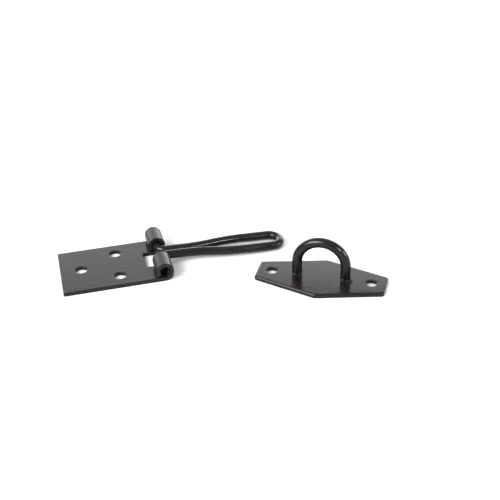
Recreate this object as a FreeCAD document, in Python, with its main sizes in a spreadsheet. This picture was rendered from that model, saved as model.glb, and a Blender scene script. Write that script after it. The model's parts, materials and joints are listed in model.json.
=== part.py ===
import FreeCAD, Part

import math
import os

import Sketcher
from FreeCAD import Rotation, Vector

# A hasp and staple of the wire pattern, lying flat with the loop beside the staple.
#
#   hasp_plate    flat plate with three screw holes, its end rolled into two knuckles
#   wire_hasp     one bent wire: two pins in the knuckles, two legs, a long closed loop
#   staple_plate  six-sided plate with a screw hole at each end
#   staple_hoop   wire hoop riveted through the staple plate
#
# The origin is the centre of the hasp plate's three screw holes, on the plate's back.
# +X runs along the hasp towards the loop, +Y along the hinge axis, +Z away from the back.

# Every driving size, in millimetres, or degrees where it says so.
SIZES = (
    ("plate_gauge", 2.0, "thickness of both plates"),
    ("plate_width", 38.0, "hasp plate from side to side"),
    ("plate_reach", 50.5, "hasp plate's free edge to the hinge axis"),
    ("plate_corner", 0.6, "corner radius at the hasp plate's free edge"),
    ("first_hole_inset", 10.5, "free edge to the single screw hole"),
    ("screw_circle", 24.6, "diameter of the circle through the three screw holes"),
    ("screw_hole", 6.0, "hasp plate's screw holes"),
    ("notch_width", 13.4, "gap between the two knuckles"),
    ("notch_depth", 7.7, "straight edge of the notch to the hinge axis"),
    ("notch_corner", 1.0, "radius in the two corners of the notch"),
    ("roll_stretch", 1.2, "how much taller than round the knuckles are rolled"),
    ("roll_seam", 0.3, "gap under the free end of the roll"),
    ("wire_diameter", 4.6, "wire of the hasp"),
    ("pin_clearance", 0.1, "pin to the sides of its knuckle"),
    ("pin_recess", 1.2, "end of a pin to the outer end of its knuckle"),
    ("pin_chamfer", 0.4, "broken edge at the ends of the wire"),
    ("bend_gap", 0.3, "end of the pin's bend to the inner end of its knuckle"),
    ("leg_gap", 0.2, "gap between the two legs where they lie side by side"),
    ("legs_together", 12.4, "hinge axis to where the legs start to part"),
    ("flare_length", 31.9, "length over which the legs part"),
    ("loop_reach", 66.4, "hinge axis to the outer end of the loop"),
    ("loop_clearance", 0.75, "loop to the hoop's wire, each side, when it is closed"),
    ("hoop_wire", 5.0, "wire of the hoop"),
    ("hoop_span", 24.2, "leg to leg of the hoop, centre to centre"),
    ("hoop_rise", 22.2, "top of the staple plate to the top of the hoop"),
    ("ear_reach", 1.0, "how far a pinched ear stands out from its leg"),
    ("ear_rise", 1.8, "height of the pinched ears"),
    ("ear_inset", 0.15, "front and back of an ear to the front and back of its leg"),
    ("tenon_shoulder", 0.5, "step from the hoop's leg to its riveted end"),
    ("rivet_flare", 1.0, "how far the riveted head spreads beyond the tenon"),
    ("rivet_depth", 1.0, "depth of the riveted head in the plate's back"),
    ("staple_length", 64.7, "staple plate from end to end"),
    ("staple_end_width", 14.5, "staple plate across its ends"),
    ("staple_middle_width", 32.7, "staple plate across its middle"),
    ("staple_end_corner", 1.5, "corner radius at the ends"),
    ("staple_middle_corner", 1.0, "corner radius at the middle"),
    ("staple_hole_spacing", 50.0, "screw hole to screw hole"),
    ("staple_hole", 5.5, "staple plate's screw holes"),
    ("staple_ahead", 74.1, "hinge axis to the middle of the staple, along the hasp"),
    ("staple_aside", 40.1, "middle line of the hasp to the middle of the staple"),
    ("staple_turn", 29.7, "turn of the staple about the vertical, clockwise, in degrees"),
)

# Places and sizes that follow from the driving ones.
FREE_EDGE_X = "(sizes.first_hole_inset + sizes.screw_circle / 2)"
HINGE_X = "(sizes.plate_reach - sizes.first_hole_inset - sizes.screw_circle / 2)"
BORE_RADIUS = "(sizes.wire_diameter / 2 + sizes.pin_clearance)"
ROLL_RADIUS = "(sizes.wire_diameter / 2 + sizes.pin_clearance + sizes.plate_gauge)"
HINGE_Z = "(" + ROLL_RADIUS + " + sizes.roll_stretch / 2)"
PIN_END_Y = "(sizes.plate_width / 2 - sizes.pin_recess)"
LEG_Y = "(sizes.wire_diameter / 2 + sizes.leg_gap / 2)"
BEND_RADIUS = "(sizes.notch_width / 2 - sizes.bend_gap - " + LEG_Y + ")"
LOOP_Y = "(sizes.hoop_wire / 2 + sizes.loop_clearance + sizes.wire_diameter / 2)"
TIP_X = "(sizes.loop_reach - sizes.wire_diameter / 2)"
TENON_RADIUS = "(sizes.hoop_wire / 2 - sizes.tenon_shoulder)"
SPRING_RISE = "(sizes.hoop_rise - sizes.hoop_wire / 2 - sizes.hoop_span / 2)"

# Sketcher's numbers for the points of a line or arc, and for a sketch's own axes.
START, END, CENTRE = 1, 2, 3
X_AXIS, Y_AXIS = -1, -2
ORIGIN = (-1, 1)

doc = FreeCAD.newDocument("hasp_and_staple")


def make_sheet():
    sheet = doc.addObject("Spreadsheet::Sheet", "sizes")
    for row, (word, value, meaning) in enumerate(SIZES, start=1):
        sheet.set("A%d" % row, meaning)
        sheet.set("B%d" % row, str(value))
        sheet.setAlias("B%d" % row, word)
    doc.recompute()
    return sheet


sizes = make_sheet()


def measure(formula):
    """The number that a formula over the sheet's sizes has now."""
    return float(sizes.evalExpression(formula))


# ---------------------------------------------------------------- sketching


def origin_plane(body, role):
    return next(item for item in body.Origin.OriginFeatures if item.Role == role)


def new_sketch(body, name, role):
    sketch = body.newObject("Sketcher::SketchObject", name)
    sketch.AttachmentSupport = [(origin_plane(body, role), "")]
    sketch.MapMode = "FlatFace"
    return sketch


def add_line(sketch, start, end):
    return sketch.addGeometry(Part.LineSegment(Vector(*start), Vector(*end)))


def add_circle(sketch, centre, radius):
    return sketch.addGeometry(Part.Circle(Vector(*centre), Vector(0, 0, 1), radius))


def add_arc(sketch, centre, radius, from_degrees, to_degrees):
    circle = Part.Circle(Vector(*centre), Vector(0, 0, 1), radius)
    arc = Part.ArcOfCircle(circle, math.radians(from_degrees), math.radians(to_degrees))
    return sketch.addGeometry(arc)


def tie(sketch, kind, *places):
    sketch.addConstraint(Sketcher.Constraint(kind, *places))


def drive(sketch, name, formula, kind, *places):
    """A dimension of the sketch that follows the sheet."""
    constraint = Sketcher.Constraint(kind, *places, measure(formula))
    index = sketch.addConstraint(constraint)
    sketch.renameConstraint(index, name)
    sketch.setExpression("Constraints." + name, formula)


def new_body(label):
    body = doc.addObject("PartDesign::Body", label)
    body.Label = label
    return body


def pad(body, name, sketch, formula, both_ways=False):
    feature = body.newObject("PartDesign::Pad", name)
    feature.Profile = sketch
    feature.Midplane = both_ways
    feature.setExpression("Length", formula)
    return feature


def cut_through(body, name, sketch):
    """Cuts the sketch's outline out of the whole body, both ways from the sketch."""
    doc.recompute()
    before = body.Shape.Volume
    feature = body.newObject("PartDesign::Pocket", name)
    feature.Profile = sketch
    feature.Type = "ThroughAll"
    feature.Midplane = True
    doc.recompute()
    if body.Shape.Volume >= before:
        raise RuntimeError(name + " cuts nothing")
    return feature


def upright_edges(body, places):
    """Names of the body's edges along Z that stand at the given (x, y) places."""
    names = []
    for number, edge in enumerate(body.Shape.Edges, start=1):
        ends = [vertex.Point for vertex in edge.Vertexes]
        if len(ends) != 2 or (ends[0] - ends[1]).cross(Vector(0, 0, 1)).Length > 1e-6:
            continue
        if any(math.hypot(ends[0].x - x, ends[0].y - y) < 1e-3 for x, y in places):
            names.append("Edge%d" % number)
    return names


def round_corners(body, name, places, formula):
    """Rounds the upright corners that stand at the given (x, y) places."""
    doc.recompute()
    edges = upright_edges(body, places)
    if len(edges) != len(places):
        raise RuntimeError("%s finds %d corners, not %d" % (name, len(edges), len(places)))
    sharp = body.Tip
    feature = body.newObject("PartDesign::Fillet", name)
    feature.Base = (sharp, edges)
    feature.setExpression("Radius", formula)
    body.Tip = feature
    return feature


# --------------------------------------------------------------- hasp plate


def sketch_rolled_strip(body):
    """Side view of the strip: flat, then rolled up and over, its end curled in under the pin."""
    free_x = -measure(FREE_EDGE_X)
    hinge_x = measure(HINGE_X)
    inner = measure(BORE_RADIUS)
    outer = measure(ROLL_RADIUS)
    gauge = measure("sizes.plate_gauge")
    low_z = outer
    high_z = outer + measure("sizes.roll_stretch")
    hinge_z = measure(HINGE_Z)
    curl = math.asin((hinge_z - gauge - measure("sizes.roll_seam")) / outer)
    curl_end = 180 + math.degrees(curl)
    outer_tip = (hinge_x - outer * math.cos(curl), hinge_z - outer * math.sin(curl))
    inner_tip = (hinge_x - inner * math.cos(curl), hinge_z - inner * math.sin(curl))

    sketch = new_sketch(body, "rolled_strip", "XZ_Plane")
    back = add_line(sketch, (free_x, 0), (hinge_x, 0))
    outer_low = add_arc(sketch, (hinge_x, low_z), outer, -90, 0)
    outer_front = add_line(sketch, (hinge_x + outer, low_z), (hinge_x + outer, high_z))
    outer_top = add_arc(sketch, (hinge_x, high_z), outer, 0, 180)
    outer_rear = add_line(sketch, (hinge_x - outer, high_z), (hinge_x - outer, hinge_z))
    outer_curl = add_arc(sketch, (hinge_x, hinge_z), outer, 180, curl_end)
    roll_end = add_line(sketch, outer_tip, inner_tip)
    inner_curl = add_arc(sketch, (hinge_x, hinge_z), inner, 180, curl_end)
    inner_rear = add_line(sketch, (hinge_x - inner, hinge_z), (hinge_x - inner, high_z))
    inner_top = add_arc(sketch, (hinge_x, high_z), inner, 0, 180)
    inner_front = add_line(sketch, (hinge_x + inner, high_z), (hinge_x + inner, low_z))
    inner_low = add_arc(sketch, (hinge_x, low_z), inner, -90, 0)
    top = add_line(sketch, (hinge_x, gauge), (free_x, gauge))
    free_edge = add_line(sketch, (free_x, gauge), (free_x, 0))

    tie(sketch, "Tangent", back, END, outer_low, START)
    tie(sketch, "Tangent", outer_low, END, outer_front, START)
    tie(sketch, "Tangent", outer_front, END, outer_top, START)
    tie(sketch, "Tangent", outer_top, END, outer_rear, START)
    tie(sketch, "Tangent", outer_rear, END, outer_curl, START)
    tie(sketch, "Coincident", outer_curl, END, roll_end, START)
    tie(sketch, "Coincident", roll_end, END, inner_curl, END)
    tie(sketch, "Tangent", inner_curl, START, inner_rear, START)
    tie(sketch, "Tangent", inner_rear, END, inner_top, END)
    tie(sketch, "Tangent", inner_top, START, inner_front, START)
    tie(sketch, "Tangent", inner_front, END, inner_low, END)
    tie(sketch, "Tangent", inner_low, START, top, START)
    tie(sketch, "Coincident", top, END, free_edge, START)
    tie(sketch, "Coincident", free_edge, END, back, START)
    tie(sketch, "Coincident", outer_low, CENTRE, inner_low, CENTRE)
    tie(sketch, "Coincident", outer_top, CENTRE, inner_top, CENTRE)
    tie(sketch, "Coincident", outer_curl, CENTRE, inner_curl, CENTRE)
    tie(sketch, "PointOnObject", outer_curl, CENTRE, roll_end)
    tie(sketch, "Equal", outer_low, outer_top)
    tie(sketch, "Equal", outer_low, outer_curl)
    for upright in (outer_front, outer_rear, inner_rear, inner_front, free_edge):
        tie(sketch, "Vertical", upright)
    tie(sketch, "Horizontal", back)
    tie(sketch, "Horizontal", top)
    tie(sketch, "PointOnObject", back, START, X_AXIS)
    drive(sketch, "free_edge_x", FREE_EDGE_X, "DistanceX", back, START, *ORIGIN)
    drive(sketch, "hinge_x", HINGE_X, "DistanceX", *ORIGIN, outer_low, CENTRE)
    drive(sketch, "outer_radius", ROLL_RADIUS, "Radius", outer_low)
    drive(sketch, "bore_radius", BORE_RADIUS, "Radius", inner_low)
    drive(sketch, "stretch", "sizes.roll_stretch", "DistanceY", outer_front, START, outer_front, END)
    drive(sketch, "hinge_z", HINGE_Z, "DistanceY", *ORIGIN, outer_curl, CENTRE)
    drive(sketch, "seam", "sizes.plate_gauge + sizes.roll_seam", "DistanceY", *ORIGIN, roll_end, START)
    return sketch


def sketch_notch(body):
    """The gap between the knuckles, cut from the notch's edge right out past the roll."""
    edge_x = measure(HINGE_X + " - sizes.notch_depth")
    past_x = measure(HINGE_X + " + 2 * " + ROLL_RADIUS)
    half = measure("sizes.notch_width / 2")

    sketch = new_sketch(body, "notch_outline", "XY_Plane")
    near = add_line(sketch, (edge_x, -half), (past_x, -half))
    outside = add_line(sketch, (past_x, -half), (past_x, half))
    far = add_line(sketch, (past_x, half), (edge_x, half))
    edge = add_line(sketch, (edge_x, half), (edge_x, -half))
    for first, second in ((near, outside), (outside, far), (far, edge), (edge, near)):
        tie(sketch, "Coincident", first, END, second, START)
    tie(sketch, "Horizontal", near)
    tie(sketch, "Horizontal", far)
    tie(sketch, "Vertical", outside)
    tie(sketch, "Symmetric", edge, START, edge, END, X_AXIS)
    drive(sketch, "edge_x", HINGE_X + " - sizes.notch_depth", "DistanceX", *ORIGIN, edge, START)
    drive(sketch, "past_x", HINGE_X + " + 2 * " + ROLL_RADIUS, "DistanceX", *ORIGIN, near, END)
    drive(sketch, "gap", "sizes.notch_width", "DistanceY", edge, END, edge, START)
    return sketch


def make_hasp_plate():
    body = new_body("hasp_plate")
    pad(body, "strip", sketch_rolled_strip(body), "sizes.plate_width", both_ways=True)
    cut_through(body, "notch", sketch_notch(body))

    hole = new_sketch(body, "screw_hole_circle", "XY_Plane")
    centre_x = -measure("sizes.screw_circle / 2")
    circle = add_circle(hole, (centre_x, 0), measure("sizes.screw_hole / 2"))
    tie(hole, "PointOnObject", circle, CENTRE, X_AXIS)
    drive(hole, "offset", "sizes.screw_circle / 2", "DistanceX", circle, CENTRE, *ORIGIN)
    drive(hole, "diameter", "sizes.screw_hole", "Diameter", circle)
    first_hole = cut_through(body, "screw_hole", hole)

    triangle = body.newObject("PartDesign::PolarPattern", "screw_holes")
    triangle.Originals = [first_hole]
    triangle.Axis = (origin_plane(body, "Z_Axis"), [""])
    triangle.Occurrences = 3
    body.Tip = triangle

    free_x = -measure(FREE_EDGE_X)
    side_y = measure("sizes.plate_width / 2")
    corners = [(free_x, -side_y), (free_x, side_y)]
    round_corners(body, "free_corners", corners, "sizes.plate_corner")
    edge_x = measure(HINGE_X + " - sizes.notch_depth")
    half = measure("sizes.notch_width / 2")
    corners = [(edge_x, -half), (edge_x, half)]
    round_corners(body, "notch_corners", corners, "sizes.notch_corner")
    return body


# ---------------------------------------------------------------- wire hasp


def sketch_half_wire(body):
    """Middle line of half the wire, seen from above, from the end of a pin to the tip."""
    pin_end_y = measure(PIN_END_Y)
    leg_y = measure(LEG_Y)
    bend = measure(BEND_RADIUS)
    loop_y = measure(LOOP_Y)
    flare_x = measure("sizes.legs_together")
    flare_length = measure("sizes.flare_length")
    parallel_x = flare_x + flare_length
    cap_x = measure(TIP_X) - loop_y
    # The legs part along two equal arcs, one curving out and one curving back.
    sideways = loop_y - leg_y
    flare_radius = (flare_length**2 + sideways**2) / (4 * sideways)
    turn = math.degrees(2 * math.atan(sideways / flare_length))

    sketch = new_sketch(body, "half_wire_line", "XY_Plane")
    pin = add_line(sketch, (0, pin_end_y), (0, leg_y + bend))
    elbow = add_arc(sketch, (bend, leg_y + bend), bend, 180, 270)
    leg = add_line(sketch, (bend, leg_y), (flare_x, leg_y))
    part = add_arc(sketch, (flare_x, leg_y + flare_radius), flare_radius, 270, 270 + turn)
    settle = add_arc(sketch, (parallel_x, loop_y - flare_radius), flare_radius, 90, 90 + turn)
    side = add_line(sketch, (parallel_x, loop_y), (cap_x, loop_y))
    cap = add_arc(sketch, (cap_x, 0), loop_y, 0, 90)

    tie(sketch, "Tangent", pin, END, elbow, START)
    tie(sketch, "Tangent", elbow, END, leg, START)
    tie(sketch, "Tangent", leg, END, part, START)
    tie(sketch, "Tangent", part, END, settle, END)
    tie(sketch, "Tangent", settle, START, side, START)
    tie(sketch, "Tangent", side, END, cap, END)
    tie(sketch, "PointOnObject", pin, START, Y_AXIS)
    tie(sketch, "Vertical", pin)
    tie(sketch, "Horizontal", leg)
    tie(sketch, "Horizontal", side)
    tie(sketch, "Equal", part, settle)
    tie(sketch, "PointOnObject", cap, CENTRE, X_AXIS)
    tie(sketch, "PointOnObject", cap, START, X_AXIS)
    drive(sketch, "pin_end", PIN_END_Y, "DistanceY", *ORIGIN, pin, START)
    drive(sketch, "bend_radius", BEND_RADIUS, "Radius", elbow)
    drive(sketch, "leg_offset", LEG_Y, "DistanceY", *ORIGIN, leg, START)
    drive(sketch, "together", "sizes.legs_together", "DistanceX", *ORIGIN, leg, END)
    drive(sketch, "flare", "sizes.flare_length", "DistanceX", leg, END, side, START)
    drive(sketch, "loop_offset", LOOP_Y, "DistanceY", *ORIGIN, side, START)
    drive(sketch, "tip", TIP_X, "DistanceX", *ORIGIN, cap, START)
    return sketch


def make_wire_hasp():
    """Bent flat about the hinge axis, then laid down so that the loop's end rests at z = 0."""
    body = new_body("wire_hasp")
    path = sketch_half_wire(body)
    section = new_sketch(body, "wire_section", "XZ_Plane")
    section.setExpression("AttachmentOffset.Base.z", "-" + PIN_END_Y)
    circle = add_circle(section, (0, 0), measure("sizes.wire_diameter / 2"))
    tie(section, "Coincident", circle, CENTRE, *ORIGIN)
    drive(section, "diameter", "sizes.wire_diameter", "Diameter", circle)
    doc.recompute()

    half = body.newObject("PartDesign::AdditivePipe", "half_wire")
    half.Profile = section
    half.Spine = (path, ["Edge%d" % (n + 1) for n in range(len(path.Geometry))])
    doc.recompute()
    whole = body.newObject("PartDesign::Mirrored", "whole_wire")
    whole.Originals = [half]
    whole.MirrorPlane = (origin_plane(body, "XZ_Plane"), [""])
    body.Tip = whole
    doc.recompute()

    pin_end_y = measure(PIN_END_Y)
    rims = [
        "Edge%d" % number
        for number, edge in enumerate(body.Shape.Edges, start=1)
        if abs(abs(edge.CenterOfMass.y) - pin_end_y) < 1e-4
    ]
    if len(rims) != 2:
        raise RuntimeError("the wire has %d cut ends, not 2" % len(rims))
    ends = body.newObject("PartDesign::Chamfer", "cut_ends")
    ends.Base = (whole, rims)
    ends.setExpression("Size", "sizes.pin_chamfer")
    body.Tip = ends

    body.Placement.Rotation = Rotation(Vector(0, 1, 0), 1)
    body.setExpression("Placement.Base.x", HINGE_X)
    body.setExpression("Placement.Base.z", HINGE_Z)
    droop = "asin((" + HINGE_Z + " - sizes.wire_diameter / 2) / " + TIP_X + ")"
    body.setExpression("Placement.Rotation.Angle", droop)
    return body


# ------------------------------------------------------------- staple plate


def place_staple(body):
    """Lays a piece of the staple beside the loop, its own middle at the staple's middle."""
    body.setExpression("Placement.Base.x", HINGE_X + " + sizes.staple_ahead")
    body.setExpression("Placement.Base.y", "-sizes.staple_aside")
    body.setExpression("Placement.Rotation.Angle", "-sizes.staple_turn * 1 deg")


def sketch_six_sides(body):
    """Outline of the plate: square ends, and sides that widen to a corner at the middle."""
    end_x = measure("sizes.staple_length / 2")
    end_y = measure("sizes.staple_end_width / 2")
    middle_y = measure("sizes.staple_middle_width / 2")
    corners = (
        (end_x, -end_y),
        (end_x, end_y),
        (0, middle_y),
        (-end_x, end_y),
        (-end_x, -end_y),
        (0, -middle_y),
    )

    sketch = new_sketch(body, "six_sides", "XY_Plane")
    sides = [
        add_line(sketch, corner, corners[(number + 1) % len(corners)])
        for number, corner in enumerate(corners)
    ]
    for number, side in enumerate(sides):
        tie(sketch, "Coincident", side, END, sides[(number + 1) % len(sides)], START)
    right_end, _, _, left_end, _, _ = sides
    tie(sketch, "Symmetric", right_end, START, right_end, END, X_AXIS)
    tie(sketch, "Symmetric", left_end, START, left_end, END, X_AXIS)
    tie(sketch, "Symmetric", right_end, END, left_end, START, Y_AXIS)
    tie(sketch, "PointOnObject", sides[1], END, Y_AXIS)
    tie(sketch, "Symmetric", sides[1], END, sides[4], END, X_AXIS)
    drive(sketch, "length", "sizes.staple_length", "DistanceX", left_end, START, right_end, END)
    drive(sketch, "end_width", "sizes.staple_end_width", "DistanceY", right_end, START, right_end, END)
    middle = (sides[4], END, sides[1], END)
    drive(sketch, "middle_width", "sizes.staple_middle_width", "DistanceY", *middle)
    return sketch, corners


def sketch_pair_of_circles(body, name, spacing, diameter):
    sketch = new_sketch(body, name, "XY_Plane")
    offset = measure(spacing) / 2
    radius = measure(diameter) / 2
    left = add_circle(sketch, (-offset, 0), radius)
    right = add_circle(sketch, (offset, 0), radius)
    tie(sketch, "Symmetric", left, CENTRE, right, CENTRE, *ORIGIN)
    tie(sketch, "PointOnObject", right, CENTRE, X_AXIS)
    tie(sketch, "Equal", left, right)
    drive(sketch, "spacing", spacing, "DistanceX", left, CENTRE, right, CENTRE)
    drive(sketch, "diameter", diameter, "Diameter", right)
    return sketch


def sketch_riveted_end(body, name):
    """Half section, about the leg's axis, of the tenon and the head that it is peened into."""
    leg_x = measure("sizes.hoop_span / 2")
    tenon = measure(TENON_RADIUS)
    head = tenon + measure("sizes.rivet_flare")
    depth = measure("sizes.rivet_depth")
    gauge = measure("sizes.plate_gauge")

    sketch = new_sketch(body, name, "XZ_Plane")
    face = add_line(sketch, (leg_x, 0), (leg_x + head, 0))
    flare = add_line(sketch, (leg_x + head, 0), (leg_x + tenon, depth))
    wall = add_line(sketch, (leg_x + tenon, depth), (leg_x + tenon, gauge))
    shoulder = add_line(sketch, (leg_x + tenon, gauge), (leg_x, gauge))
    axis = add_line(sketch, (leg_x, gauge), (leg_x, 0))
    outline = (face, flare, wall, shoulder, axis)
    for number, line in enumerate(outline):
        tie(sketch, "Coincident", outline[number - 1], END, line, START)
    tie(sketch, "Horizontal", face)
    tie(sketch, "Horizontal", shoulder)
    tie(sketch, "Vertical", wall)
    tie(sketch, "Vertical", axis)
    tie(sketch, "PointOnObject", face, START, X_AXIS)
    drive(sketch, "leg", "sizes.hoop_span / 2", "DistanceX", *ORIGIN, face, START)
    drive(sketch, "head", TENON_RADIUS + " + sizes.rivet_flare", "DistanceX", face, START, face, END)
    drive(sketch, "tenon", TENON_RADIUS, "DistanceX", shoulder, END, shoulder, START)
    drive(sketch, "depth", "sizes.rivet_depth", "DistanceY", flare, START, flare, END)
    drive(sketch, "gauge", "sizes.plate_gauge", "DistanceY", axis, END, axis, START)
    return sketch, axis


def turn_about_leg(body, kind, name, sketch, axis):
    feature = body.newObject(kind, name)
    feature.Profile = sketch
    feature.ReferenceAxis = (sketch, ["Edge%d" % (axis + 1)])
    feature.Angle = 360
    doc.recompute()
    return feature


def mirror_end_to_end(body, name, features):
    feature = body.newObject("PartDesign::Mirrored", name)
    feature.Originals = features
    feature.MirrorPlane = (origin_plane(body, "YZ_Plane"), [""])
    body.Tip = feature
    doc.recompute()
    return feature


def make_staple_plate():
    body = new_body("staple_plate")
    outline, corners = sketch_six_sides(body)
    pad(body, "blank", outline, "sizes.plate_gauge")
    screws = ("sizes.staple_hole_spacing", "sizes.staple_hole")
    cut_through(body, "screw_holes", sketch_pair_of_circles(body, "screw_circles", *screws))

    before = body.Shape.Volume
    section, axis = sketch_riveted_end(body, "rivet_hole_section")
    hole = turn_about_leg(body, "PartDesign::Groove", "rivet_hole", section, axis)
    mirror_end_to_end(body, "rivet_holes", [hole])
    if body.Shape.Volume >= before:
        raise RuntimeError("rivet_holes cut nothing")

    ends = [corner for corner in corners if corner[0] != 0]
    middles = [corner for corner in corners if corner[0] == 0]
    round_corners(body, "end_corners", ends, "sizes.staple_end_corner")
    round_corners(body, "middle_corners", middles, "sizes.staple_middle_corner")
    place_staple(body)
    return body


# -------------------------------------------------------------- staple hoop


def sketch_half_hoop(body):
    """Middle line of half the hoop: up one leg and round to the top of the arch."""
    leg_x = measure("sizes.hoop_span / 2")
    foot_z = measure("sizes.plate_gauge")
    spring_z = foot_z + measure(SPRING_RISE)

    sketch = new_sketch(body, "half_hoop_line", "XZ_Plane")
    leg = add_line(sketch, (leg_x, foot_z), (leg_x, spring_z))
    arch = add_arc(sketch, (0, spring_z), leg_x, 0, 90)
    tie(sketch, "Tangent", leg, END, arch, START)
    tie(sketch, "Vertical", leg)
    tie(sketch, "PointOnObject", arch, CENTRE, Y_AXIS)
    tie(sketch, "PointOnObject", arch, END, Y_AXIS)
    drive(sketch, "leg", "sizes.hoop_span / 2", "DistanceX", *ORIGIN, leg, START)
    drive(sketch, "foot", "sizes.plate_gauge", "DistanceY", *ORIGIN, leg, START)
    drive(sketch, "spring", SPRING_RISE, "DistanceY", leg, START, leg, END)
    return sketch


def add_ear(body, name, side):
    """Half an egg on the plate, standing out of the leg on its outer (1) or inner (-1) side."""
    ear = body.newObject("PartDesign::AdditiveEllipsoid", name)
    ear.Angle1 = 0
    ear.setExpression("Radius1", "sizes.ear_rise")
    ear.setExpression("Radius2", "sizes.hoop_wire / 4 + sizes.ear_reach")
    ear.setExpression("Radius3", "sizes.hoop_wire / 2 - sizes.ear_inset")
    ear.setExpression("Placement.Base.x", "(sizes.hoop_span + %d * sizes.hoop_wire / 2) / 2" % side)
    ear.setExpression("Placement.Base.z", "sizes.plate_gauge")
    doc.recompute()
    return ear


def make_staple_hoop():
    body = new_body("staple_hoop")
    path = sketch_half_hoop(body)
    section = new_sketch(body, "hoop_section", "XY_Plane")
    section.setExpression("AttachmentOffset.Base.z", "sizes.plate_gauge")
    leg_x = measure("sizes.hoop_span / 2")
    circle = add_circle(section, (leg_x, 0), measure("sizes.hoop_wire / 2"))
    tie(section, "PointOnObject", circle, CENTRE, X_AXIS)
    drive(section, "leg", "sizes.hoop_span / 2", "DistanceX", *ORIGIN, circle, CENTRE)
    drive(section, "diameter", "sizes.hoop_wire", "Diameter", circle)
    doc.recompute()

    half = body.newObject("PartDesign::AdditivePipe", "half_hoop")
    half.Profile = section
    half.Spine = (path, ["Edge%d" % (n + 1) for n in range(len(path.Geometry))])
    doc.recompute()
    riveted, axis = sketch_riveted_end(body, "tenon_section")
    tenon = turn_about_leg(body, "PartDesign::Revolution", "tenon", riveted, axis)
    ears = [add_ear(body, "outer_ear", 1), add_ear(body, "inner_ear", -1)]
    mirror_end_to_end(body, "whole_hoop", [half, tenon] + ears)
    place_staple(body)
    return body


# ------------------------------------------------------------ check and save


def check_document():
    doc.recompute()
    for item in doc.Objects:
        if "Invalid" in item.State or "Error" in item.State:
            raise RuntimeError("%s did not compute: %s" % (item.Name, item.State))


def save_node(body):
    shape = body.Shape
    if shape.isNull() or not shape.isValid():
        raise RuntimeError(body.Label + " has no valid shape")
    if len(shape.Solids) != 1:
        raise RuntimeError("%s is %d solids, not 1" % (body.Label, len(shape.Solids)))
    shape.exportStep(os.path.join("parts", body.Label + ".step"))
    print("%s: %.1f cubic millimetres" % (body.Label, shape.Volume))


bodies = [make_hasp_plate(), make_wire_hasp(), make_staple_plate(), make_staple_hoop()]
check_document()
os.makedirs("parts", exist_ok=True)
for finished in bodies:
    save_node(finished)
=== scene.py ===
import json
import math

import bmesh
import bpy
from mathutils import Matrix, Vector, noise
from mathutils.geometry import tessellate_polygon


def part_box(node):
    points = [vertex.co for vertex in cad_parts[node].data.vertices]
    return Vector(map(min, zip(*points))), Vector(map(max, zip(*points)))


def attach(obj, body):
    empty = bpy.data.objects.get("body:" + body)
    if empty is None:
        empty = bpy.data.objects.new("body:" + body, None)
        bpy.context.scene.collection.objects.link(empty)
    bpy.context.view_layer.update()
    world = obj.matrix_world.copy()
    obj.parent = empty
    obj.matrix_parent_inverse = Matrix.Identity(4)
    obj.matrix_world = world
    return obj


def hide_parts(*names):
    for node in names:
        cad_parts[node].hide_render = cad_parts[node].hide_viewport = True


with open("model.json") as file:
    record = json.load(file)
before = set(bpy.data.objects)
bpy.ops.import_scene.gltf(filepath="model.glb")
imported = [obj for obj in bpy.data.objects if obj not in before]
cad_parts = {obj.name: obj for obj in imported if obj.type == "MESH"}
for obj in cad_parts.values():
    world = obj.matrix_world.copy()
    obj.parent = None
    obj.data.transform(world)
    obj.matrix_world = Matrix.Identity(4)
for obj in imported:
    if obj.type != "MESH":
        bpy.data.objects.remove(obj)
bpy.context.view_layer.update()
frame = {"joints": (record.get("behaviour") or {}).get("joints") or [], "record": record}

MM = 0.001

# ------------------------------------------------------------ sizes, in millimetres

MOUNTS = {mount["name"]: mount for mount in frame["record"]["mounts"]}
JOINTS = {joint["name"]: joint for joint in frame["joints"]}


def in_mm(point):
    return Vector(point) / MM


PLATE_LOW, PLATE_HIGH = (in_mm(corner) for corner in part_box("hasp_plate"))
HOOP_TOP = in_mm(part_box("staple_hoop")[1]).z
HINGE = in_mm(JOINTS["wire_swing"]["pos_m"])
SCREWS = MOUNTS["hasp_screws"]["dims"]
STAPLE_SCREWS = MOUNTS["staple_screws"]["dims"]
STAPLE_AT = in_mm(MOUNTS["staple_screws"]["pos_m"])
EYE_AXIS = MOUNTS["padlock_eye"]["axis"]
STAPLE_TURN = -math.atan2(EYE_AXIS[0], EYE_AXIS[1])

# Both plates. A punch rolls the rims over in front, and leaves a burr at the back.
GAUGE = 2.0
BURR = 0.12
HOLE_ROLLED = 0.3
HOLE_SIDES = 64

# The hasp plate: its notch, its corners, and the two tongues rolled into knuckles.
NOTCH_HALF = 6.7
NOTCH_DEPTH = 7.7
NOTCH_CORNER = 1.0
PLATE_CORNER = 0.6
PLATE_ROLLED = 0.3
TONGUE_CORNER = 0.45
SCREW_TURNS = (60, 180, 300)
# The roll is an oval: a quarter turn, a straight rise, a half turn, a straight drop, a curl.
ROLL_SEAM = 0.3
ROLL_OUTER = PLATE_HIGH.x - HINGE.x
ROLL_MIDDLE = ROLL_OUTER - GAUGE / 2
ROLL_LOW_Z = ROLL_OUTER
ROLL_HIGH_Z = PLATE_HIGH.z - ROLL_OUTER
ROLL_QUARTER = ROLL_MIDDLE * math.pi / 2
ROLL_RISE = ROLL_HIGH_Z - ROLL_LOW_Z
ROLL_DROP = ROLL_HIGH_Z - HINGE.z
PLATE_SLICE = 1.5

# The wire of the hasp: its pins, the elbows at the knuckles, the two legs and the loop.
WIRE = 4.6
PIN_END = 17.8
PIN_CHAMFER = 0.4
PIN_SHEAR = 2.6
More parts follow.
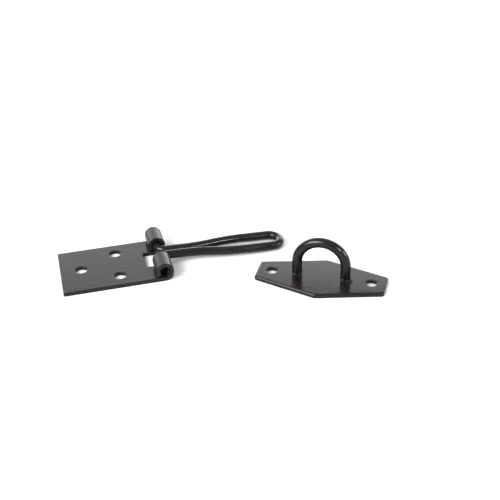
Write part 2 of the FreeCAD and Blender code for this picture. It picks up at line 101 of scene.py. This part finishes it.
# Which way across the pin its sheared end slopes, along X and along Z.
CUT_SLOPE_X = -0.6
CUT_SLOPE_Z = 0.8
LEG_Y = 2.4
BEND_GAP = 0.3
BEND = NOTCH_HALF - BEND_GAP - LEG_Y
LEGS_TOGETHER = 12.4
FLARE = 31.9
LOOP_Y = 5.55
LOOP_REACH = 66.4
WIRE_STEP = 0.8
WIRE_SEGMENTS = 32
ELBOW_SQUEEZE = 0.03
# How uneven drawing leaves the wire, and how many waves there are in a millimetre.
WIRE_UNEVEN = 0.012
WIRE_WAVES = 0.22

# The staple's plate, which riveting has lifted a little in the middle.
STAPLE_LENGTH = 64.7
STAPLE_END = 14.5
STAPLE_MIDDLE = 32.7
STAPLE_END_CORNER = 1.5
STAPLE_MIDDLE_CORNER = 1.0
STAPLE_ROLLED = 0.9
STAPLE_BOW = 0.14
STAPLE_SLICE = 1.6

# The staple's hoop: its legs, the crushed feet, and the tenons riveted in the plate.
HOOP_WIRE = 5.0
HOOP_SPAN = 24.2
HOOP_SEGMENTS = 72
HOOP_UNEVEN = 0.015
HOOP_WAVES = 0.2
FOOT_HEIGHT = 3.0
FOOT_STEP = 0.15
LEG_STEP = 0.7
TENON = 2.0
TENON_CLEARANCE = 0.02
RIVET_HEAD = 3.0
RIVET_DEPTH = 1.0
# Lobes round a foot, each with its place in degrees and its size.
LOBE_HEIGHT = 1.35
LOBE_SPREAD = 13
RIGHT_FOOT_LOBES = ((62, 1.2), (137, 1.1), (165, 1.5), (-55, 0.9), (-140, 1.0))
LEFT_FOOT_LOBES = ((113, 1.3), (38, 1.0), (-62, 1.0), (-135, 0.9))
# Dents in the front and back of a foot, where the pinching tool held it.
DENT_DEPTH = 0.4
DENT_MIDDLE = 0.5
DENT_HEIGHT = 2.6
DENT_SPREAD = 20


# ------------------------------------------------------------------- mesh building


def arc(centre, radius, start, end, steps):
    """Points of an arc, both ends included, its angles in degrees."""
    points = []
    for step in range(steps + 1):
        angle = math.radians(start + (end - start) * step / steps)
        points.append((centre[0] + radius * math.cos(angle), centre[1] + radius * math.sin(angle)))
    return points


def rounded_outline(corners, steps=6):
    """A closed outline, anticlockwise, from (x, y, corner radius) corners."""
    outline = []
    for number, (x, y, radius) in enumerate(corners):
        here = Vector((x, y))
        before = (Vector(corners[number - 1][:2]) - here).normalized()
        after = (Vector(corners[(number + 1) % len(corners)][:2]) - here).normalized()
        half = before.angle(after) / 2
        reach = radius / math.tan(half)
        centre = here + (before + after).normalized() * radius / math.sin(half)
        first = here + before * reach - centre
        last = here + after * reach - centre
        turn = first.angle_signed(last)
        for step in range(steps + 1):
            spoke = first.copy()
            spoke.rotate(Matrix.Rotation(-turn * step / steps, 2))
            outline.append(tuple(centre + spoke))
    return outline


def inset_loop(loop, distance):
    """The loop moved to its left by a distance, into the metal."""
    moved = []
    count = len(loop)
    for number, point in enumerate(loop):
        back = Vector(point) - Vector(loop[number - 1])
        ahead = Vector(loop[(number + 1) % count]) - Vector(point)
        back.normalize()
        ahead.normalize()
        along = (back + ahead).normalized()
        stretch = 1 / max(0.5, along.dot(ahead))
        moved.append((point[0] - along.y * distance * stretch, point[1] + along.x * distance * stretch))
    return moved


def bridge(mesh, first, second):
    """A band of faces between two closed rings of as many vertices."""
    for number in range(len(first)):
        after = (number + 1) % len(first)
        mesh.faces.new((first[number], first[after], second[after], second[number]))


def sheared_edge(rolled):
    """(inset, height) steps from the back of a sheared edge to its rolled-over front."""
    half = GAUGE / 2
    torn_inset = 0.09
    steps = [
        (BURR * 1.6, -half),
        (BURR * 0.5, -half + BURR * 0.35),
        (BURR * 0.2, -half + BURR),
        (torn_inset, -half + 0.3 * GAUGE),
        (0.0, -half + 0.42 * GAUGE),
    ]
    for step in range(6):
        angle = math.radians(90 * step / 5)
        steps.append((rolled * (1 - math.cos(angle)), half - rolled * (1 - math.sin(angle))))
    return steps


def sheet_metal(outline, holes, rolled, sinks=()):
    """A punched plate, flat, its middle at height 0. Loops run with the metal on their left.

    A sink is (loop, widening, depth): a hole that widens by so much over its depth at the back.
    """
    mesh = bmesh.new()
    rim = mesh.verts.layers.float.new("rim")
    loops = [(outline, sheared_edge(rolled))]
    loops += [(loop, sheared_edge(HOLE_ROLLED)) for loop in holes]
    half = GAUGE / 2
    for loop, widening, depth in sinks:
        loops.append((loop, [(widening, -half), (0.0, -half + depth), (0.0, half)]))
    back_loops, front_loops = [], []
    for loop, steps in loops:
        rings = []
        for number, (inset, height) in enumerate(steps):
            ring = [mesh.verts.new((x, y, height)) for x, y in inset_loop(loop, inset)]
            for vertex in ring:
                vertex[rim] = 1.0 - abs(number / (len(steps) - 1) - 0.5) * 0.4
            rings.append(ring)
        for low, high in zip(rings, rings[1:]):
            bridge(mesh, low, high)
        back_loops.append(rings[0])
        front_loops.append(rings[-1])
    for cap, upwards in ((back_loops, False), (front_loops, True)):
        flat = [vertex for ring in cap for vertex in ring]
        for triangle in tessellate_polygon([[vertex.co for vertex in ring] for ring in cap]):
            corners = [flat[index] for index in triangle]
            face = mesh.faces.new(corners)
            face.normal_update()
            if (face.normal.z > 0) != upwards:
                face.normal_flip()
    return mesh


def screw_hole(centre, radius):
    """The edge of a round hole, clockwise, so that the metal is on its left."""
    return arc(centre, radius, 360, 0, HOLE_SIDES)[:-1]


def either_side(step, count):
    """Stations a step apart, so many to each side of 0."""
    return [step * number for number in range(-count, count + 1)]


def slice_across(mesh, axis, stations):
    """Cuts every face where it crosses the stations along an axis, so that it can bend there."""
    normal = Vector((0, 0, 0))
    normal[axis] = 1
    for station in stations:
        geometry = mesh.verts[:] + mesh.edges[:] + mesh.faces[:]
        bmesh.ops.bisect_plane(mesh, geom=geometry, dist=1e-5, plane_co=normal * station, plane_no=normal)


def finish_piece(name, mesh, material, body, node):
    """Makes the object from a mesh in millimetres, and has it stand for its CAD node."""
    bmesh.ops.remove_doubles(mesh, verts=mesh.verts[:], dist=1e-5)
    bmesh.ops.recalc_face_normals(mesh, faces=mesh.faces[:])
    for vertex in mesh.verts:
        vertex.co *= MM
    data = bpy.data.meshes.new(name)
    mesh.to_mesh(data)
    mesh.free()
    data.polygons.foreach_set("use_smooth", [True] * len(data.polygons))
    piece = bpy.data.objects.new(name, data)
    bpy.context.scene.collection.objects.link(piece)
    data.materials.append(material)
    weighted = piece.modifiers.new("even_shading", "WEIGHTED_NORMAL")
    weighted.mode = "FACE_AREA"
    weighted.weight = 80
    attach(piece, body)
    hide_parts(node)


def store_flow(mesh, flow):
    """A texture map in metres, from each vertex's place along the metal and across it."""
    mesh.verts.index_update()
    layer = mesh.loops.layers.uv.new("flow")
    for face in mesh.faces:
        for loop in face.loops:
            loop[layer].uv = [value * MM for value in flow[loop.vert.index]]


# ---------------------------------------------------------------------- hasp plate


def roll_up(s, y, height):
    """Where a point of the flat blank lies once its end is rolled into the knuckles.

    s runs along the blank from the hinge line, and height is measured from its middle layer.
    """
    radius = ROLL_MIDDLE - height
    if s <= 0:
        return Vector((HINGE.x + s, y, GAUGE / 2 + height))
    if s <= ROLL_QUARTER:
        angle = s / ROLL_MIDDLE - math.pi / 2
        return Vector((HINGE.x + radius * math.cos(angle), y, ROLL_LOW_Z + radius * math.sin(angle)))
    s -= ROLL_QUARTER
    if s <= ROLL_RISE:
        return Vector((HINGE.x + radius, y, ROLL_LOW_Z + s))
    s -= ROLL_RISE
    if s <= 2 * ROLL_QUARTER:
        angle = s / ROLL_MIDDLE
        return Vector((HINGE.x + radius * math.cos(angle), y, ROLL_HIGH_Z + radius * math.sin(angle)))
    s -= 2 * ROLL_QUARTER
    if s <= ROLL_DROP:
        return Vector((HINGE.x - radius, y, ROLL_HIGH_Z - s))
    angle = (s - ROLL_DROP) / ROLL_MIDDLE
    return Vector((HINGE.x - radius * math.cos(angle), y, HINGE.z - radius * math.sin(angle)))


def roll_stations(curl):
    """Where the blank is cut across so that it can bend: every 5 degrees, and 9 cuts in the curl."""
    fine = ROLL_QUARTER / 18
    curl_start = 3 * ROLL_QUARTER + ROLL_RISE + ROLL_DROP
    stations = [fine * step for step in range(19)]
    stations += [ROLL_QUARTER + ROLL_RISE + fine * step for step in range(37)]
    return stations + [curl_start + curl * step / 9 for step in range(9)]


def build_hasp_plate(material):
    free_s = PLATE_LOW.x - HINGE.x
    side = PLATE_HIGH.y
    curl = ROLL_MIDDLE * math.asin((HINGE.z - GAUGE - ROLL_SEAM) / ROLL_OUTER)
    end_s = 3 * ROLL_QUARTER + ROLL_RISE + ROLL_DROP + curl
    outline = rounded_outline((
        (free_s, -side, PLATE_CORNER),
        (end_s, -side, TONGUE_CORNER),
        (end_s, -NOTCH_HALF, TONGUE_CORNER),
        (-NOTCH_DEPTH, -NOTCH_HALF, NOTCH_CORNER),
        (-NOTCH_DEPTH, NOTCH_HALF, NOTCH_CORNER),
        (end_s, NOTCH_HALF, TONGUE_CORNER),
        (end_s, side, TONGUE_CORNER),
        (free_s, side, PLATE_CORNER),
    ))
    # The screw holes lie about the origin, and the blank is measured from the hinge line.
    holes = []
    reach = SCREWS["pcd_mm"] / 2
    for turn in SCREW_TURNS:
        angle = math.radians(turn)
        centre = (-HINGE.x + reach * math.cos(angle), reach * math.sin(angle))
        holes.append(screw_hole(centre, SCREWS["hole_r_mm"]))
    mesh = sheet_metal(outline, holes, PLATE_ROLLED)
    flat = [free_s + PLATE_SLICE * step for step in range(1, int(-free_s / PLATE_SLICE) + 1)]
    slice_across(mesh, 0, flat + roll_stations(curl))
    slice_across(mesh, 1, either_side(PLATE_SLICE, 12))
    formed = mesh.verts.layers.float.new("formed")
    for vertex in mesh.verts:
        vertex[formed] = min(1.0, max(0.0, vertex.co.x / ROLL_QUARTER))
    store_flow(mesh, [(vertex.co.x, vertex.co.y) for vertex in mesh.verts])
    for vertex in mesh.verts:
        vertex.co = roll_up(*vertex.co)
    finish_piece("rolled_plate", mesh, material, "hasp_plate", "hasp_plate")


# --------------------------------------------------------------------------- wires


def sweep(line, radius_at, segments):
    """A tube along a flat line in the XY plane. radius_at(length, angle) gives its surface.

    Angle 0 points to the left of the line and 90 degrees points up. The ends stay open.
    """
    mesh = bmesh.new()
    mesh.verts.layers.float.new("rim")
    rings, flow = [], []
    length = 0.0
    up = Vector((0, 0, 1))
    for number, point in enumerate(line):
        here = Vector(point)
        if number:
            length += (here - Vector(line[number - 1])).length
        before = Vector(line[max(0, number - 1)])
        after = Vector(line[min(len(line) - 1, number + 1)])
        along = (after - before).normalized()
        left = Vector((-along.y, along.x, 0))
        ring = []
        for segment in range(segments):
            angle = 2 * math.pi * segment / segments
            radius = radius_at(length, angle)
            spoke = left * math.cos(angle) + up * math.sin(angle)
            ring.append(mesh.verts.new(Vector((here.x, here.y, 0)) + spoke * radius))
            flow.append((length, angle * WIRE / 2))
        rings.append(ring)
    for first, second in zip(rings, rings[1:]):
        bridge(mesh, first, second)
    return mesh, rings, flow


def close_tube(mesh, ring, centre, spokes, outwards, steps, flow, across, worn):
    """Closes a tube with rings of (share of the spokes, distance out), the last share 0."""
    rim = mesh.verts.layers.float["rim"]
    for share, out in steps[:-1]:
        inner = []
        for spoke in spokes:
            vertex = mesh.verts.new(centre + spoke * share + outwards * out)
            vertex[rim] = worn
            inner.append(vertex)
            flow.append((out, share * across))
        bridge(mesh, ring, inner)
        ring = inner
    tip = mesh.verts.new(centre + outwards * steps[-1][1])
    flow.append((0, 0))
    for number in range(len(ring)):
        mesh.faces.new((ring[number], ring[(number + 1) % len(ring)], tip))


def line_length(line):
    return sum((Vector(after) - Vector(before)).length for before, after in zip(line, line[1:]))


def spaced(start, end, gap):
    """Points from start up to but not including end, about a gap apart."""
    start, end = Vector(start), Vector(end)
    count = max(1, round((end - start).length / gap))
    return [tuple(start.lerp(end, step / count)) for step in range(count)]


def wire_line():
    """Middle line of the hasp's wire, from the end of one pin round the loop to the other."""
    sideways = LOOP_Y - LEG_Y
    radius = (FLARE**2 + sideways**2) / (4 * sideways)
    turn = math.degrees(2 * math.atan(sideways / FLARE))
    parallel = LEGS_TOGETHER + FLARE
    cap = LOOP_REACH - WIRE / 2 - LOOP_Y
    half = spaced((0, PIN_END - PIN_CHAMFER), (0, LEG_Y + BEND), WIRE_STEP)
    half += arc((BEND, LEG_Y + BEND), BEND, 180, 270, 18)[:-1]
    half += spaced((BEND, LEG_Y), (LEGS_TOGETHER, LEG_Y), WIRE_STEP)
    half += arc((LEGS_TOGETHER, LEG_Y + radius), radius, 270, 270 + turn, 16)[:-1]
    half += arc((parallel, LOOP_Y - radius), radius, 90 + turn, 90, 16)[:-1]
    half += spaced((parallel, LOOP_Y), (cap, LOOP_Y), WIRE_STEP)
    half += arc((cap, 0), LOOP_Y, 90, 0, 20)
    return half + [(x, -y) for x, y in reversed(half[:-1])]


def shear_pins(mesh):
    """Draws in the cut ends of the pins, which were sheared off and lie deeper on one side."""
    for vertex in mesh.verts:
        depth = PIN_SHEAR * (0.65 - (CUT_SLOPE_Z * vertex.co.z + CUT_SLOPE_X * vertex.co.x) / WIRE)
        near_end = max(0.0, 1 - (PIN_END - abs(vertex.co.y)) / PIN_SHEAR / 1.5)
        vertex.co.y -= math.copysign(depth * near_end**2, vertex.co.y)


def build_wire(material):
    line = wire_line()
    total = line_length(line)
    elbow_start = PIN_END - PIN_CHAMFER - LEG_Y - BEND
    elbow_middle = elbow_start + BEND * math.pi / 4
    elbow_half = BEND * math.pi / 4 + WIRE_STEP

    def radius_at(length, angle):
        """Round wire, a little flattened across the inside of each tight elbow."""
        from_end = min(length, total - length)
        bent = max(0.0, 1 - abs(from_end - elbow_middle) / elbow_half)
        squeeze = ELBOW_SQUEEZE * bent * math.cos(angle) ** 2
        uneven = WIRE_UNEVEN * noise.noise(Vector((length * WIRE_WAVES, math.cos(angle), math.sin(angle))))
        return WIRE / 2 * (1 - squeeze) - WIRE_UNEVEN + uneven

    mesh, rings, flow = sweep(line, radius_at, WIRE_SEGMENTS)
    rounded = [(0.93, 0.2), (0.83, 0.38), (0.7, PIN_CHAMFER), (0.35, 0.37), (0, 0.36)]
    for ring, side in ((rings[0], 1), (rings[-1], -1)):
        centre = sum((vertex.co for vertex in ring), Vector()) / len(ring)
        spokes = [vertex.co - centre for vertex in ring]
        close_tube(mesh, ring, centre, spokes, Vector((0, side, 0)), rounded, flow, WIRE, 0.8)
    shear_pins(mesh)
    store_flow(mesh, flow)
    droop = math.asin((HINGE.z - WIRE / 2) / (LOOP_REACH - WIRE / 2))
    mesh.transform(Matrix.Translation(HINGE) @ Matrix.Rotation(droop, 4, "Y"))
    finish_piece("bent_wire", mesh, material, "wire_hasp", "wire_hasp")


# -------------------------------------------------------------------------- staple


def staple_place():
    return Matrix.Translation(STAPLE_AT) @ Matrix.Rotation(STAPLE_TURN, 4, "Z")


def build_staple_plate(material):
    end_x, end_y, middle_y = STAPLE_LENGTH / 2, STAPLE_END / 2, STAPLE_MIDDLE / 2
    outline = rounded_outline((
        (end_x, -end_y, STAPLE_END_CORNER),
        (end_x, end_y, STAPLE_END_CORNER),
        (0, middle_y, STAPLE_MIDDLE_CORNER),
        (-end_x, end_y, STAPLE_END_CORNER),
        (-end_x, -end_y, STAPLE_END_CORNER),
        (0, -middle_y, STAPLE_MIDDLE_CORNER),
    ))
    reach = STAPLE_SCREWS["pcd_mm"] / 2
    screws = [screw_hole((side * reach, 0), STAPLE_SCREWS["hole_r_mm"]) for side in (-1, 1)]
    sinks = []
    for side in (-1, 1):
        tenon_hole = arc((side * HOOP_SPAN / 2, 0), TENON + TENON_CLEARANCE, 360, 0, 48)[:-1]
        sinks.append((tenon_hole, RIVET_HEAD - TENON, RIVET_DEPTH))
    mesh = sheet_metal(outline, screws, STAPLE_ROLLED, sinks)
    slice_across(mesh, 0, either_side(STAPLE_SLICE, 20))
    slice_across(mesh, 1, either_side(STAPLE_SLICE, 10))
    store_flow(mesh, [(vertex.co.x, vertex.co.y) for vertex in mesh.verts])
    for vertex in mesh.verts:
        vertex.co.z += GAUGE / 2 + STAPLE_BOW * (1 - (vertex.co.y / middle_y) ** 2)
    mesh.transform(staple_place())
    finish_piece("six_sided_plate", mesh, material, "staple", "staple_plate")


def near_angle(angle, degrees, spread):
    """1 at an angle round the leg, falling smoothly to 0 away from it."""
    away = (math.degrees(angle) - degrees + 180) % 360 - 180
    return math.exp(-((away / spread) ** 2) / 2)


def hoop_line():
    """Middle line of the hoop, flat, from the right foot over the arch to the left one."""
    arch = HOOP_SPAN / 2
    spring = HOOP_TOP - HOOP_WIRE / 2 - arch
    foot_top = GAUGE + FOOT_HEIGHT
    leg = spaced((arch, GAUGE), (arch, foot_top), FOOT_STEP)
    leg += spaced((arch, foot_top), (arch, spring), LEG_STEP)
    return leg + arc((0, spring), arch, 0, 180, 60) + [(-x, z) for x, z in reversed(leg)]


def rivet_steps(radius):
    """The tenon and its riveted head, as rings of (share of the leg's radius, distance down)."""
    return [
        (TENON / radius, 0.0),
        (TENON / radius, GAUGE - RIVET_DEPTH),
        (0.985 * RIVET_HEAD / radius, GAUGE - 0.08),
        (0.93 * RIVET_HEAD / radius, GAUGE - 0.015),
        (0.6 * RIVET_HEAD / radius, GAUGE - 0.03),
        (0.3 * RIVET_HEAD / radius, GAUGE - 0.06),
        (0, GAUGE - 0.07),
    ]


def build_hoop(material):
    radius = HOOP_WIRE / 2
    line = hoop_line()
    total = line_length(line)

    def radius_at(length, angle):
        """Round wire whose feet are pinched front and back, which pushes lobes out beside the dents."""
        rise = min(length, total - length)
        lobes = RIGHT_FOOT_LOBES if length < total / 2 else LEFT_FOOT_LOBES
        low = math.sqrt(max(0.0, 1 - (rise / LOBE_HEIGHT) ** 2))
        bulge = low * sum(size * near_angle(angle, where, LOBE_SPREAD) for where, size in lobes)
        dent = max(0.0, 1 - abs(rise - DENT_MIDDLE) / DENT_HEIGHT) ** 1.2
        dent *= DENT_DEPTH * (near_angle(angle, 90, DENT_SPREAD) + near_angle(angle, -90, DENT_SPREAD))
        uneven = HOOP_UNEVEN * noise.noise(Vector((length * HOOP_WAVES, math.cos(angle), math.sin(angle))))
        return radius - HOOP_UNEVEN + uneven + bulge - dent

    mesh, rings, flow = sweep(line, radius_at, HOOP_SEGMENTS)
    down = Vector((0, -1, 0))
    for ring, side in ((rings[0], 1), (rings[-1], -1)):
        centre = Vector((side * HOOP_SPAN / 2, GAUGE, 0))
        spokes = []
        for vertex in ring:
            spoke = vertex.co - centre
            spoke.y = 0
            spokes.append(spoke.normalized() * radius)
        close_tube(mesh, ring, centre, spokes, down, rivet_steps(radius), flow, 1.0, 0.6)
    store_flow(mesh, flow)
    # The line was drawn flat, with its height along Y, and stands up about X.
    mesh.transform(staple_place() @ Matrix.Rotation(math.pi / 2, 4, "X"))
    finish_piece("riveted_hoop", mesh, material, "staple", "staple_hoop")


# ----------------------------------------------------------------------- materials

COATING_IOR = 1.4
# The outside of the roll is a little duller than the flat of the plate.
FORMED_ROUGHER = 0.16
DUST_ROUGHER = 0.3
DUST_COVER = 0.25
DUST_COLOUR = (0.16, 0.155, 0.15, 1.0)
WORN_MOST = 0.3
WORN_METALLIC = 0.6
WORN_COLOUR = (0.17, 0.16, 0.15, 1.0)
# Depth of each kind of relief, in millimetres.
PEEL_BUMP = 0.05
GRAIN_BUMP = 0.001
LINES_BUMP = 0.002
STREAKS_BUMP = 0.026

PAPER_DARK = (0.61, 0.61, 0.608, 1.0)
PAPER_LIGHT = (0.67, 0.67, 0.668, 1.0)
PAPER_FIBRE = 1.2
PAPER_BUMP = 0.01
PAPER_ROUGHNESS = 0.75
PAPER_SPECULAR = 0.2


class Nodes:
    """A small helper that adds nodes to a material and links them."""

    def __init__(self, name):
        self.material = bpy.data.materials.new(name)
        self.material.use_nodes = True
        self.tree = self.material.node_tree
        self.shader = self.tree.nodes["Principled BSDF"]

    def feed(self, socket, value):
        """Links a socket to another node's output, or sets it to a plain value."""
        if isinstance(value, bpy.types.NodeSocket):
            self.tree.links.new(value, socket)
        else:
            socket.default_value = value

    def add(self, kind, settings, inputs):
        node = self.tree.nodes.new(kind)
        for key, value in settings.items():
            setattr(node, key, value)
        for key, value in inputs.items():
            self.feed(node.inputs[key], value)
        return node

    def noise(self, vector, wavelength, detail=2.0, roughness=0.5, distortion=0.0):
        """Noise whose largest features are about a wavelength apart, in millimetres."""
        inputs = {
            "Vector": vector,
            "Scale": 1 / (wavelength * MM),
            "Detail": detail,
            "Roughness": roughness,
            "Distortion": distortion,
        }
        return self.add("ShaderNodeTexNoise", {"noise_dimensions": "3D"}, inputs).outputs["Fac"]

    def remap(self, value, low, high, to_low, to_high):
        """A value's range stretched onto another one, and held within it."""
        inputs = {"Value": value, "From Min": low, "From Max": high, "To Min": to_low, "To Max": to_high}
        return self.add("ShaderNodeMapRange", {"clamp": True}, inputs).outputs["Result"]

    def maths(self, operation, first, second):
        return self.add("ShaderNodeMath", {"operation": operation}, {0: first, 1: second}).outputs["Value"]

    def mix(self, share, first, second):
        """The first colour, and as much of the second as the share says."""
        inputs = {"Factor": share, 6: first, 7: second}
        return self.add("ShaderNodeMix", {"data_type": "RGBA"}, inputs).outputs[2]

    def bump(self, height, distance, normal=None):
        """Relief of a height up to a distance in millimetres, on top of an earlier one."""
        inputs = {"Height": height, "Distance": distance * MM, "Strength": 1.0}
        if normal is not None:
            inputs["Normal"] = normal
        return self.add("ShaderNodeBump", {}, inputs).outputs["Normal"]

    def position(self):
        return self.add("ShaderNodeTexCoord", {}, {}).outputs["Object"]

    def attribute(self, name):
        return self.add("ShaderNodeAttribute", {"attribute_name": name}, {}).outputs["Fac"]


def black_coating(name, tint, rough_low, rough_high, peel, stretch):
    """Black coating over steel: orange peel, fine grain, rolled or drawn lines, and worn edges.

    peel is the wavelength of the orange peel in millimetres, and stretch draws out the lines
    along the metal, where less is longer.
    """
    nodes = Nodes(name)
    place = nodes.position()
    flow = nodes.add("ShaderNodeUVMap", {"uv_map": "flow"}, {}).outputs["UV"]
    rim = nodes.attribute("rim")
    formed = nodes.attribute("formed")

    cloud = nodes.noise(place, 9.0, detail=3.0)
    fine = nodes.noise(place, 0.35, detail=3.0, roughness=0.6)
    orange_peel = nodes.noise(place, peel, detail=1.5)
    mapping = {"Vector": flow, "Scale": (stretch, 1.0, 1.0)}
    stretched = nodes.add("ShaderNodeMapping", {"vector_type": "POINT"}, mapping).outputs["Vector"]
    lines = nodes.noise(stretched, 0.5, detail=4.0, roughness=0.65)
    streaks = nodes.noise(stretched, 1.6)

    # Thin coat and small chips along the sheared rims, steel just showing through.
    chips = nodes.noise(place, 0.8, detail=4.0, roughness=0.7, distortion=0.6)
    worn = nodes.remap(nodes.maths("MULTIPLY", rim, chips), 0.56, 0.66, 0.0, WORN_MOST)
    dust = nodes.remap(nodes.noise(place, 0.3, detail=0.0), 0.78, 0.82, 0.0, 0.5)
    shade = nodes.remap(cloud, 0.3, 0.7, 0.0, 1.0)

    dark = [value * 0.75 for value in tint] + [1.0]
    light = [value * 1.3 for value in tint] + [1.0]
    colour = nodes.mix(shade, dark, light)
    colour = nodes.mix(nodes.maths("MULTIPLY", dust, DUST_COVER), colour, DUST_COLOUR)
    colour = nodes.mix(worn, colour, WORN_COLOUR)
    nodes.feed(nodes.shader.inputs["Base Color"], colour)

    smear = nodes.maths("ADD", nodes.maths("MULTIPLY", cloud, 0.6), nodes.maths("MULTIPLY", lines, 0.4))
    roughness = nodes.remap(smear, 0.35, 0.65, rough_low, rough_high)
    roughness = nodes.maths("ADD", roughness, nodes.maths("MULTIPLY", dust, DUST_ROUGHER))
    roughness = nodes.maths("ADD", roughness, nodes.maths("MULTIPLY", formed, FORMED_ROUGHER))
    nodes.feed(nodes.shader.inputs["Roughness"], roughness)
    nodes.feed(nodes.shader.inputs["Metallic"], nodes.maths("MULTIPLY", worn, WORN_METALLIC))
    nodes.shader.inputs["IOR"].default_value = COATING_IOR

    normal = nodes.bump(orange_peel, PEEL_BUMP)
    normal = nodes.bump(fine, GRAIN_BUMP, normal)
    normal = nodes.bump(lines, LINES_BUMP, normal)
    normal = nodes.bump(streaks, STREAKS_BUMP, normal)
    nodes.feed(nodes.shader.inputs["Normal"], normal)
    return nodes.material


def floor_material():
    nodes = Nodes("pale_paper")
    fibre = nodes.noise(nodes.position(), PAPER_FIBRE, detail=4.0)
    colour = nodes.mix(fibre, PAPER_DARK, PAPER_LIGHT)
    nodes.feed(nodes.shader.inputs["Base Color"], colour)
    nodes.shader.inputs["Roughness"].default_value = PAPER_ROUGHNESS
    nodes.shader.inputs["Specular IOR Level"].default_value = PAPER_SPECULAR
    nodes.feed(nodes.shader.inputs["Normal"], nodes.bump(fibre, PAPER_BUMP))
    return nodes.material


# ------------------------------------------------------------------ stage and light

# The floor lies a little under the plates, so that their backs don't flicker in it.
FLOOR_HALF = 3000.0 * MM
FLOOR_BELOW = 0.03 * MM

LOOK_AT = Vector((75.13, -2.64, 0.0)) * MM
# The camera stands a little to the left of -Y.
VIEW_AZIMUTH = math.radians(-13.62)
VIEW_ELEVATION = math.radians(31.78)
VIEW_DISTANCE = 481.36 * MM
VIEW_ROLL = math.radians(-1.513)
LENS = 66.2
SENSOR = 36.0

WORLD_COLOUR = (0.98, 0.985, 1.0, 1.0)
WORLD_STRENGTH = 0.65
DISPLAY_GAMMA = 0.85
WHITE = (1.0, 1.0, 1.0)
WARM_WHITE = (1.0, 0.97, 0.975)
# Name, direction (right, away, up), distance, width and height in metres, radiance, tint.
SOFTBOXES = (
    ("back_wall", (0, 1, 0.4), 1.1, 2.4, 0.64, 2.2, WARM_WHITE),
    ("back_right", (0.36, 1, 0.4), 1.08, 0.8, 0.62, 0.7, WARM_WHITE),
    ("back_strip", (0, 1, 0.14), 1.15, 2.4, 0.3, 3.4, WARM_WHITE),
    ("left_box", (-0.77, -0.64, 0.76), 1.0, 0.76, 0.48, 17.0, WARM_WHITE),
    ("right_box", (0.98, -0.15, 0.24), 1.0, 0.6, 0.2, 12.0, WHITE),
    ("front_right", (0.67, -0.74, 0.52), 1.0, 0.22, 0.2, 30.0, WHITE),
    ("overhead", (0, 0.12, 1), 1.3, 1.5, 1.2, 0.5, WHITE),
)


def build_floor():
    mesh = bmesh.new()
    bmesh.ops.create_grid(mesh, x_segments=12, y_segments=12, size=FLOOR_HALF)
    bmesh.ops.translate(mesh, verts=mesh.verts[:], vec=(0, 0, -FLOOR_BELOW))
    data = bpy.data.meshes.new("floor")
    mesh.to_mesh(data)
    mesh.free()
    floor = bpy.data.objects.new("floor", data)
    bpy.context.scene.collection.objects.link(floor)
    data.materials.append(floor_material())


def view_frame(azimuth):
    """Directions to the right, away and up, for someone who looks along +Y turned by azimuth."""
    turn = Matrix.Rotation(azimuth, 3, "Z")
    return turn @ Vector((1, 0, 0)), turn @ Vector((0, 1, 0)), Vector((0, 0, 1))


def build_camera():
    right, away, up = view_frame(VIEW_AZIMUTH)
    back = -away * math.cos(VIEW_ELEVATION) + up * math.sin(VIEW_ELEVATION)
    top = away * math.sin(VIEW_ELEVATION) + up * math.cos(VIEW_ELEVATION)
    tilt = Matrix.Rotation(VIEW_ROLL, 3, back)
    right, top = tilt @ right, tilt @ top
    data = bpy.data.cameras.new("camera")
    data.lens = LENS
    data.sensor_width = SENSOR
    data.clip_start = 0.01
    data.clip_end = 50.0
    camera = bpy.data.objects.new("camera", data)
    place = Matrix((right, top, back)).transposed().to_4x4()
    place.translation = LOOK_AT + back * VIEW_DISTANCE
    camera.matrix_world = place
    bpy.context.scene.collection.objects.link(camera)
    bpy.context.scene.camera = camera


def add_softbox(name, direction, distance, width, height, radiance, tint):
    """A rectangular light that faces the object, as bright as radiance where it is seen."""
    right, away, up = view_frame(VIEW_AZIMUTH)
    towards = (right * direction[0] + away * direction[1] + up * direction[2]).normalized()
    data = bpy.data.lights.new(name, "AREA")
    data.shape = "RECTANGLE"
    data.size = width
    data.size_y = height
    data.energy = radiance * math.pi * width * height
    data.color = tint
    light = bpy.data.objects.new(name, data)
    light.rotation_euler = towards.to_track_quat("Z", "Y").to_euler()
    light.location = LOOK_AT + towards * distance
    light.visible_camera = False
    bpy.context.scene.collection.objects.link(light)


def light_stage():
    world = bpy.data.worlds.new("studio")
    bpy.context.scene.world = world
    world.use_nodes = True
    background = world.node_tree.nodes["Background"]
    background.inputs["Color"].default_value = WORLD_COLOUR
    background.inputs["Strength"].default_value = WORLD_STRENGTH
    for softbox in SOFTBOXES:
        add_softbox(*softbox)
    bpy.context.scene.view_settings.view_transform = "Standard"
    bpy.context.scene.view_settings.gamma = DISPLAY_GAMMA


build_camera()
build_floor()
light_stage()
PLATE_BLACK = black_coating(
    "satin_black_plate",
    tint=(0.0108, 0.0088, 0.0094),
    rough_low=0.15,
    rough_high=0.25,
    peel=1.3,
    stretch=0.04,
)
WIRE_BLACK = black_coating(
    "gloss_black_wire",
    tint=(0.0102, 0.0082, 0.0090),
    rough_low=0.16,
    rough_high=0.27,
    peel=1.0,
    stretch=0.12,
)
build_hasp_plate(PLATE_BLACK)
build_wire(WIRE_BLACK)
build_staple_plate(PLATE_BLACK)
build_hoop(WIRE_BLACK)
